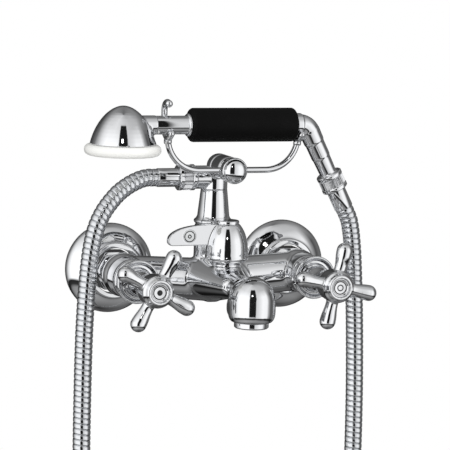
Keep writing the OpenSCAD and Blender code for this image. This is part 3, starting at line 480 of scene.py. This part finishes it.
@dataclass(frozen=True)
class Mark:
    """A generic mark let into a round face: a thin ring round a dot or a small ring; sizes in millimetres."""

    name: str
    centre: tuple[float, float, float]
    ring: float
    dot: float
    open_dot: bool
    line: float = 0.45
    depth: float = 0.3

    def make(self) -> bpy.types.Object:
        """Makes the mark on a face that looks along -Y.

        Returns:
            The mark.
        """
        parts = [self.band(self.ring)]
        if self.open_dot:
            parts.append(self.band(self.dot))
        else:
            deselect()
            bpy.ops.mesh.primitive_uv_sphere_add(segments=32, ring_count=12, radius=self.dot * MM)
            parts.append(bpy.context.object)
        for part in parts:
            part.scale.z *= self.depth / (self.line if part is parts[0] or self.open_dot else self.dot)
            settle(part)
        pick(parts[0])
        for part in parts[1:]:
            part.select_set(True)
        bpy.ops.object.join()
        mark = bpy.context.object
        mark.name = mark.data.name = self.name
        mark.rotation_euler = (math.pi / 2, 0, 0)
        mark.location = [c * MM for c in self.centre]
        settle(mark)
        bpy.ops.object.shade_smooth()
        return mark

    def band(self, radius: float) -> bpy.types.Object:
        """Adds one thin ring."""
        deselect()
        bpy.ops.mesh.primitive_torus_add(major_radius=radius * MM, minor_radius=self.line * MM, major_segments=64,
                                         minor_segments=10)
        return bpy.context.object


@dataclass
class Camera:
    """The photo's camera, found from the inlets, handles, grip and hose."""

    azimuth: float = 20.3
    elevation: float = 7.6
    distance: float = 2000.0
    roll: float = 1.73
    target: tuple[float, float, float] = (2.8, -60.0, 40.8)
    focal_px: float = 2546.0
    picture_px: int = 450
    sensor: float = 36.0

    def build(self) -> None:
        """Adds the camera and makes it the scene's."""
        a, e, r = (math.radians(v) for v in (self.azimuth, self.elevation, self.roll))
        out = Vector((-math.sin(a) * math.cos(e), -math.cos(a) * math.cos(e), math.sin(e)))
        right = (-out).cross(Vector((0, 0, 1))).normalized()
        up = right.cross(-out)
        across = math.cos(r) * right + math.sin(r) * up
        top = math.cos(r) * up - math.sin(r) * right
        deselect()
        bpy.ops.object.camera_add()
        camera = bpy.context.object
        camera.name = "photo_camera"
        turn = Matrix((across, top, out)).transposed().to_4x4()
        camera.matrix_world = Matrix.Translation((Vector(self.target) + self.distance * out) * MM) @ turn
        camera.data.sensor_width = self.sensor
        camera.data.lens = self.sensor * self.focal_px / self.picture_px
        camera.data.clip_start = 0.05
        camera.data.clip_end = 50.0
        bpy.context.scene.camera = camera


@dataclass
class Hose:
    """The ribbed metal hose: a helix of rolled strip along the route of its solid.

    Sizes are in millimetres. crown is how far a rib falls away to its sides, groove the depth of the groove between
    ribs, groove_power how narrow it is, cuts the rings of points per rib, fine the points between two points of the
    route, ease the rings on each side over which its direction is averaged, and end_step the step down at both ends.
    """

    route: tuple[tuple[float, float, float], ...] = (
        (-48, -40, 76.5), (-52, -40, 76.5), (-56, -40, 76.5), (-63, -40.6, 74.8), (-73, -42, 70.1),
        (-83, -43.6, 62.5), (-94, -46, 49), (-101, -48, 32), (-105.5, -50.5, 5), (-108.5, -53, -40),
        (-109.5, -55, -100), (-109.5, -57, -170), (-109, -59, -240), (-107, -60, -310), (-99, -61, -365),
        (-78, -63, -409), (-46, -65, -437), (-4, -68, -448), (40.02, -71, -438), (74.02, -73, -409),
        (98.02, -75, -364), (108.02, -77, -310), (111.02, -78, -240), (111.02, -79, -170), (110.02, -80, -100),
        (107.92, -80, -40), (105.22, -80, 4), (103.02, -80, 28), (100.62, -80, 42.5), (98.48, -80, 48.95),
        (95.02, -80, 55.6),
    )
    radius: float = 7.0
    groove: float = 1.1
    crown: float = 0.18
    pitch: float = 4.25
    cuts: int = 12
    sides: int = 24
    fine: int = 24
    ease: int = 6
    groove_power: int = 12
    end_step: float = 0.3

    def line(self) -> np.ndarray:
        """Gives points close together on the smooth curve through the route, in millimetres."""
        p = np.array(self.route, float)
        p = np.vstack([p[:1], p, p[-1:]])
        out = []
        for i in range(1, len(p) - 2):
            a, b, c, d = p[i - 1:i + 3]
            for k in range(self.fine):
                t = k / self.fine
                out.append(0.5 * (2 * b + (c - a) * t + (2 * a - 5 * b + 4 * c - d) * t ** 2
                                  + (3 * b - a - 3 * c + d) * t ** 3))
        return np.array([*out, p[-1]])

    def skin(self, line: np.ndarray, run: np.ndarray) -> tuple[np.ndarray, list[tuple[int, ...]]]:
        """Winds the ribbed skin round the middle line.

        Args:
            line: Points on the middle line.
            run: The length along the line at each of them.

        Returns:
            The skin's points in millimetres, and its faces.
        """
        count = int(run[-1] / self.pitch * self.cuts)
        s = np.linspace(0, run[-1], count + 1)
        centre = np.stack([np.interp(s, run, line[:, k]) for k in range(3)], 1)
        way = np.gradient(centre, axis=0)
        window = np.ones(2 * self.ease + 1) / (2 * self.ease + 1)
        way = np.array([np.convolve(np.pad(way[:, k], self.ease, mode="edge"), window, "valid") for k in range(3)]).T
        way /= np.linalg.norm(way, axis=1)[:, None]
        u = np.cross(way, (0, 1, 0))
        u /= np.linalg.norm(u, axis=1)[:, None]
        v = np.cross(way, u)
        n = self.sides
        angle = np.arange(n) * 2 * math.pi / n
        phase = s[:, None] / self.pitch + angle[None, :] / (2 * math.pi)
        beside = 1 - 2 * np.abs(phase - np.floor(phase) - 0.5)
        r = self.radius - self.crown * beside ** 2 - self.groove * beside ** self.groove_power
        r[:2], r[-2:] = self.radius - self.end_step, self.radius - self.end_step
        points = centre[:, None] + r[..., None] * (
            np.cos(angle)[None, :, None] * u[:, None] + np.sin(angle)[None, :, None] * v[:, None])
        faces: list[tuple[int, ...]] = [
            (i * n + k, i * n + (k + 1) % n, (i + 1) * n + (k + 1) % n, (i + 1) * n + k)
            for i in range(count) for k in range(n)]
        faces.append(tuple(range(n))[::-1])
        faces.append(tuple(count * n + k for k in range(n)))
        return points.reshape(-1, 3), faces

    def build(self) -> None:
        line = self.line()
        run = np.concatenate([[0], np.cumsum(np.linalg.norm(np.diff(line, axis=0), axis=1))])
        points, faces = self.skin(line, run)
        mesh = bpy.data.meshes.new("shower_hose_ribbed")
        mesh.from_pydata((points * MM).tolist(), [], faces)
        piece = bpy.data.objects.new("shower_hose_ribbed", mesh)
        bpy.context.scene.collection.objects.link(piece)
        pick(piece)
        bpy.ops.object.mode_set(mode="EDIT")
        bpy.ops.mesh.select_all(action="SELECT")
        bpy.ops.mesh.normals_make_consistent(inside=False)
        bpy.ops.object.mode_set(mode="OBJECT")
        bpy.ops.object.shade_smooth_by_angle(angle=math.radians(60))
        mesh.materials.append(HOSE_STEEL.material())
        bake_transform(piece)
        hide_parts("shower_hose")


@dataclass
class WallConnection:
    """Eccentric unions, rosettes, nuts and washers."""

    def build(self) -> None:
        """Finishes both sides."""
        for side in Side:
            finish_turned(f"{side.value}_rosette", CHROME, Body.MIXER)
            finish_turned(f"{side.value}_union_nut", CHROME, Body.MIXER)
            finish_turned(f"{side.value}_eccentric_union", BRASS, Body.MIXER)
            finish_turned(f"{side.value}_union_washer", RUBBER, Body.MIXER, FINE_EDGE)


@dataclass
class CastBody:
    """The cast body with its flowing fillets, and the aerator in its nozzle."""

    voxel: float = 0.85
    rounds: int = 20
    valve_x: float = 73.5
    plugs: list[Plug] = field(default_factory=list)

    def __post_init__(self) -> None:
        """Works out the plugs for the mouths of the passages, and the flare of the neck."""
        for side in (-1, 1):
            inlet = Plug((side * self.valve_x, -18, 0), "y", radius=9.5, length=6.6)
            barrel = Plug((side * self.valve_x, -60.9, 0), "y", radius=13, length=10)
            self.plugs += [inlet, barrel]
        riser = Plug((0, -40, 35), "z", radius=12, length=9.6)
        diverter = Plug((0, -73.5, 6), "z", radius=10.5, length=8.6)
        nozzle = Plug((0, -132, -19), "z", radius=13.6, length=9.8)
        flare = Plug((0, -76, -2), "y", radius=28, length=52, far_radius=13, flat=0.6)
        self.plugs += [riser, diverter, nozzle, flare]

    def build(self) -> None:
        """Makes the body's skin and finishes the aerator."""
        finish_cast("mixer_body", Body.MIXER, self.voxel, self.rounds, self.plugs)
        finish_turned("aerator_ring", CHROME, Body.MIXER)
        finish_turned("aerator_insert", WHITE_ABS, Body.MIXER, FINE_EDGE)
        finish_turned("aerator_seal", RUBBER, Body.MIXER, FINE_EDGE)


@dataclass
class Valve:
    """One valve: headwork, discs, shroud and cross handle.

    button_face is where the index button's face lies along Y, and lip the radius of the shroud's rim.
    """

    side: Side
    valve_x: float = 73.5
    button_face: float = -129.8
    lip: float = 16.9
    voxel: float = 0.5
    rounds: int = 7

    def build(self) -> None:
        """Finishes the valve's pieces."""
        name = self.side.value
        moving = Body.HOT if self.side is Side.HOT else Body.COLD
        finish_turned(f"{name}_shroud", CHROME, Body.MIXER, 0.3)
        finish_turned(f"{name}_headwork", CHROME, Body.MIXER)
        finish_turned(f"{name}_fixed_disc", ALUMINA, Body.MIXER, FINE_EDGE)
        finish_turned(f"{name}_moving_disc", ALUMINA, moving, FINE_EDGE)
        finish_turned(f"{name}_spindle", BRASS, moving)
        finish_turned(f"{name}_spindle_seal", RUBBER, moving, NO_EDGE)
        finish_cast(f"{name}_handle", moving, self.voxel, self.rounds)
        finish_turned(f"{name}_handle_screw", BRASS, moving)
        finish_turned(f"{name}_index_button", CHROME, moving, 0.2)
        mark = Mark(f"{name}_index_mark", (self.axis_x(), self.button_face, 0), ring=4.9, dot=2.2,
                    open_dot=self.side is Side.COLD)
        dress(mark.make(), ENAMEL, moving)
        milled = Knurl(f"{name}_shroud_milled_edge", f"{name}_shroud", (0, -1, 0), radius=self.lip, start=10.0,
                       length=2.2, count=112, height=0.3)
        dress(milled.make(), CHROME, Body.MIXER)

    def axis_x(self) -> float:
        """Gives the valve's place across, in millimetres."""
        return -self.valve_x if self.side is Side.HOT else self.valve_x


@dataclass
class Diverter:
    """The lever diverter on the spout's neck; inlay is the middle of the round inlay's face."""

    inlay: tuple[float, float, float] = (-32.05, -76.4, 34.6)
    voxel: float = 0.5
    rounds: int = 8

    def build(self) -> None:
        """Finishes the diverter's pieces."""
        finish_turned("diverter_bonnet", CHROME, Body.MIXER)
        finish_turned("diverter_spool", BRASS, Body.DIVERTER)
        finish_turned("diverter_spindle", BRASS, Body.DIVERTER)
        finish_turned("diverter_seal", RUBBER, Body.DIVERTER, NO_EDGE)
        finish_cast("diverter_handle", Body.DIVERTER, self.voxel, self.rounds)
        finish_turned("diverter_cap", CHROME, Body.DIVERTER)
        finish_turned("diverter_inlay", INLAY, Body.DIVERTER, 0.15)
        rings = Mark("diverter_inlay_ring", self.inlay, ring=4.1, dot=1.2, open_dot=True, line=0.38)
        dress(rings.make(), ENAMEL, Body.DIVERTER)


@dataclass
class RiserAndCradle:
    """Riser column, outlet tee and the fork that carries the handset."""

    voxel: float = 0.5
    rounds: int = 8

    def build(self) -> None:
        """Finishes the riser's and the cradle's pieces."""
        finish_turned("riser_column", CHROME, Body.MIXER)
        finish_turned("riser_seal", RUBBER, Body.MIXER, NO_EDGE)
        finish_cast("outlet_tee", Body.MIXER, self.voxel, self.rounds)
        finish_turned("cradle_stud", BRASS, Body.MIXER)
        finish_turned("cradle_fork", CHROME, Body.MIXER, NO_EDGE, sharp=50.0)
        finish_turned("cradle_nut", CHROME, Body.MIXER)


@dataclass
class HoseFittings:
    """Nut, washer and ferrule at each end of the hose; tail is how far the handset's tail turns down."""

    tail: float = math.radians(62.5)

    def build(self) -> None:
        """Finishes both ends."""
        for end, body in (("outlet", Body.MIXER), ("handset", Body.HANDSET)):
            finish_turned(f"{end}_hose_nut", CHROME, body)
            axis = (-1, 0, 0) if body is Body.MIXER else (math.cos(self.tail), 0, -math.sin(self.tail))
            knurl = Knurl(f"{end}_hose_nut_knurl", f"{end}_hose_nut", axis, radius=9.7, start=3.6, length=6.8,
                          count=72)
            dress(knurl.make(), CHROME, body)
            finish_turned(f"{end}_hose_washer", RUBBER, body, FINE_EDGE)
            finish_turned(f"{end}_hose_ferrule", CHROME, body)


@dataclass
class Handset:
    """The telephone handset."""

    voxel: float = 0.55
    rounds: int = 9
    elbow_voxel: float = 0.5
    elbow_rounds: int = 5

    def build(self) -> None:
        """Finishes the handset's pieces."""
        finish_cast("handset_head", Body.HANDSET, self.voxel, self.rounds)
        finish_turned("handset_rim", WHITE_ABS, Body.HANDSET)
        finish_turned("handset_gasket", RUBBER, Body.HANDSET, FINE_EDGE)
        finish_turned("handset_spray_plate", WHITE_ABS, Body.HANDSET, 0.2)
        finish_turned("handset_tube", CHROME, Body.HANDSET)
        finish_turned("handset_collar", CHROME, Body.HANDSET)
        finish_turned("handset_grip", BLACK_ABS, Body.HANDSET)
        finish_cast("handset_elbow", Body.HANDSET, self.elbow_voxel, self.elbow_rounds)


@dataclass
class Studio:
    """A pale floor, two soft boxes and a light tent whose greys give the chrome its shape.

    The tent's ramps hold angles in degrees, from the camera's direction or from the horizon, with sRGB greys from 0
    to 1. walls holds the greys round the mixer, roof those above and below it, roof_turn a factor on these, and band
    where the walls show. The opening is the dark gap that the camera looks through, with a small flash in it.
    """

    floor_z: float = -462.0
    floor_size: float = 1500.0
    camera_azimuth: float = 20.3
    aim: tuple[float, float, float] = (0.0, -60.0, 40.0)
    fill: float = 0.75
    walls: tuple[tuple[float, float], ...] = (
        (-180, 0.2), (-140, 0.25), (-118, 0.42), (-100, 0.7), (-84, 0.88), (-64, 1.0), (-24, 1.0), (24, 0.8),
        (40, 0.88), (54, 0.96), (78, 0.94), (90, 0.6), (104, 0.3), (125, 0.4), (150, 0.35), (180, 0.2))
    roof: tuple[tuple[float, float], ...] = (
        (-90, 0.35), (-70, 0.5), (-52, 0.62), (-40, 0.55), (-34, 0.2), (-25, 0.12), (20, 0.9), (45, 0.88),
        (70, 0.84), (90, 0.74))
    roof_turn: tuple[tuple[float, float], ...] = (
        (-180, 0.5), (-130, 0.6), (-90, 0.9), (-40, 1.0), (0, 0.92), (50, 0.84), (90, 0.8), (130, 0.6), (180, 0.5))
    band: tuple[tuple[float, float], ...] = ((-27, 0.0), (-23, 1.0), (20, 1.0), (48, 0.0))
    opening_turn: tuple[tuple[float, float], ...] = ((-14, 0.0), (-11, 1.0), (20, 1.0), (23, 0.0))
    opening_rise: tuple[tuple[float, float], ...] = ((-24, 0.0), (-18, 1.0), (56, 1.0), (62, 0.0))
    opening_colour: tuple[float, float, float, float] = (0.01, 0.01, 0.01, 1.0)
    flash_turn: float = 1.0
    flash_rise: float = 29.0
    flash_width: float = 3.6
    flash_core: float = 0.6
    flash: float = 4.0
    shine: float = 1.3

    def build(self) -> None:
        """Adds the floor, the lamps and the surroundings."""
        self.floor()
        self.surroundings()
        self.lamp("key_soft_box", (-900, -1300, 1100), 900, 14.0)
        self.lamp("fill_soft_box", (1200, -900, 500), 700, 5.0)
        bpy.context.scene.view_settings.view_transform = "Standard"

    def floor(self) -> None:
        """Adds a pale floor under the hose."""
        deselect()
        bpy.ops.mesh.primitive_plane_add(size=self.floor_size * MM, location=(0, 0, self.floor_z * MM))
        floor = bpy.context.object
        floor.name = "pale_floor"
        settle(floor)
        floor.visible_glossy = False
        floor.data.materials.append(Finish("pale_matt_floor", "", "#EFEFEE", 0.0, 0.8, grain_mm=3.0).material())

    def lamp(self, name: str, place: tuple[float, float, float], size: float, power: float) -> None:
        """Adds a soft box that faces the mixer.

        Args:
            name: Its name.
            place: Its place in millimetres.
            size: Its side in millimetres.
            power: Its power in watts.
        """
        deselect()
        bpy.ops.object.light_add(type="AREA", location=[c * MM for c in place])
        lamp = bpy.context.object
        lamp.name = name
        lamp.data.shape = "SQUARE"
        lamp.data.size = size * MM
        lamp.data.energy = power
        lamp.visible_glossy = False
        aim = Vector(self.aim) - Vector(place)
        lamp.rotation_euler = aim.to_track_quat("-Z", "Y").to_euler()

    def surroundings(self) -> None:
        """Makes the world: white to the eye, a light tent with a dark opening for the camera to the chrome."""
        world = bpy.data.worlds.new("light_tent")
        bpy.context.scene.world = world
        world.use_nodes = True
        tree = world.node_tree
        tree.nodes.clear()
        place = add_node(tree, "ShaderNodeTexCoord")
        way = add_node(tree, "ShaderNodeMapping", {"Rotation": (0, 0, math.radians(self.camera_azimuth))},
                       {"Vector": place.outputs["Generated"]})
        bright = add_node(tree, "ShaderNodeMix", {"data_type": "RGBA", "blend_type": "ADD", MIX_FACTOR: 1.0},
                          {MIX_A: self.tent(tree, way), MIX_B: self.flash_spot(tree, way)})
        chrome = add_node(tree, "ShaderNodeBackground", {"Strength": self.shine}, {"Color": bright.outputs[MIX_OUT]})
        plain = add_node(tree, "ShaderNodeBackground", {"Color": (1, 1, 1, 1), "Strength": self.fill})
        seen = add_node(tree, "ShaderNodeBackground", {"Color": (1, 1, 1, 1), "Strength": 1.0})
        ray = add_node(tree, "ShaderNodeLightPath")
        shine = add_node(tree, "ShaderNodeMixShader", None, {
            0: ray.outputs["Is Glossy Ray"], 1: plain.outputs["Background"], 2: chrome.outputs["Background"]})
        view = add_node(tree, "ShaderNodeMixShader", None, {
            0: ray.outputs["Is Camera Ray"], 1: shine.outputs["Shader"], 2: seen.outputs["Background"]})
        add_node(tree, "ShaderNodeOutputWorld", None, {"Surface": view.outputs["Shader"]})

    def tent(self, tree: bpy.types.NodeTree, way: bpy.types.Node) -> bpy.types.NodeSocket:
        """Adds the tent's walls, roof and floor, with the opening in front.

        Args:
            tree: The node tree.
            way: The node that gives the direction, with the camera ahead.

        Returns:
            The tent's grey in that direction.
        """
        part = add_node(tree, "ShaderNodeSeparateXYZ", None, {"Vector": way.outputs["Vector"]})
        ahead = add_node(tree, "ShaderNodeMath", {"operation": "MULTIPLY", 1: -1.0}, {0: part.outputs["Y"]})
        azimuth = add_node(tree, "ShaderNodeMath", {"operation": "ARCTAN2"},
                           {0: part.outputs["X"], 1: ahead.outputs["Value"]})
        turn = add_node(tree, "ShaderNodeMapRange", {"From Min": -math.pi, "From Max": math.pi},
                        {"Value": azimuth.outputs["Value"]})
        rise = add_node(tree, "ShaderNodeMath", {"operation": "ARCSINE"}, {0: part.outputs["Z"]})
        height = add_node(tree, "ShaderNodeMapRange", {"From Min": -math.pi / 2, "From Max": math.pi / 2},
                          {"Value": rise.outputs["Value"]})
        walls, roof_turn, beside = (self.ramp(tree, turn.outputs["Result"], stops, 360.0)
                                    for stops in (self.walls, self.roof_turn, self.opening_turn))
        roof, band, level = (self.ramp(tree, height.outputs["Result"], stops, 180.0)
                             for stops in (self.roof, self.band, self.opening_rise))
        over = add_node(tree, "ShaderNodeMix", {"data_type": "RGBA", "blend_type": "MULTIPLY", MIX_FACTOR: 1.0},
                        {MIX_A: roof.outputs["Color"], MIX_B: roof_turn.outputs["Color"]})
        cloth = add_node(tree, "ShaderNodeMix", {"data_type": "RGBA"}, {
            MIX_FACTOR: band.outputs["Color"], MIX_A: over.outputs[MIX_OUT], MIX_B: walls.outputs["Color"]})
        hole = add_node(tree, "ShaderNodeMath", {"operation": "MULTIPLY"},
                        {0: beside.outputs["Color"], 1: level.outputs["Color"]})
        lit = add_node(tree, "ShaderNodeMix", {"data_type": "RGBA", MIX_B: self.opening_colour},
                       {MIX_FACTOR: hole.outputs["Value"], MIX_A: cloth.outputs[MIX_OUT]})
        return lit.outputs[MIX_OUT]

    def flash_spot(self, tree: bpy.types.NodeTree, way: bpy.types.Node) -> bpy.types.NodeSocket:
        """Adds the small flash lamp in the opening.

        Args:
            tree: The node tree.
            way: The node that gives the direction, with the camera ahead.

        Returns:
            The flash's light in that direction.
        """
        a, e = math.radians(self.flash_turn), math.radians(self.flash_rise)
        near = add_node(tree, "ShaderNodeVectorMath", {
            "operation": "DOT_PRODUCT", 1: (math.sin(a) * math.cos(e), -math.cos(a) * math.cos(e), math.sin(e))},
            {0: way.outputs["Vector"]})
        spot = add_node(tree, "ShaderNodeMapRange", {
            "From Min": math.cos(math.radians(self.flash_width)),
            "From Max": math.cos(math.radians(self.flash_core * self.flash_width)), "To Max": self.flash},
            {"Value": near.outputs["Value"]})
        return spot.outputs["Result"]

    @staticmethod
    def ramp(tree: bpy.types.NodeTree, value: bpy.types.NodeSocket, stops: Sequence[tuple[float, float]],
             span: float) -> bpy.types.Node:
        """Adds a grey ramp over an angle.

        Args:
            tree: The node tree.
            value: The angle, with 0 to 1 for the whole span about its middle.
            stops: Angles in degrees from the middle, with the grey at each.
            span: The whole span in degrees.

        Returns:
            The ramp's node.
        """
        node = add_node(tree, "ShaderNodeValToRGB", None, {"Fac": value})
        marks = node.color_ramp.elements
        while len(marks) < len(stops):
            marks.new(0.5)
        for mark, (angle, _) in zip(marks, stops):
            mark.position = 0.5 + angle / span
        for mark, (_, grey) in zip(marks, stops):
            mark.color = (*[linear_grey(grey)] * 3, 1.0)
        return node


def main() -> None:
    """Builds the camera, the hose and then every sub-assembly."""
    logging.basicConfig(level=logging.INFO, format="%(name)s: %(message)s")
    Camera().build()
    Hose().build()
    WallConnection().build()
    CastBody().build()
    for side in Side:
        Valve(side).build()
    Diverter().build()
    RiserAndCradle().build()
    HoseFittings().build()
    Handset().build()
    Studio().build()


if __name__ == "__main__":
    main()
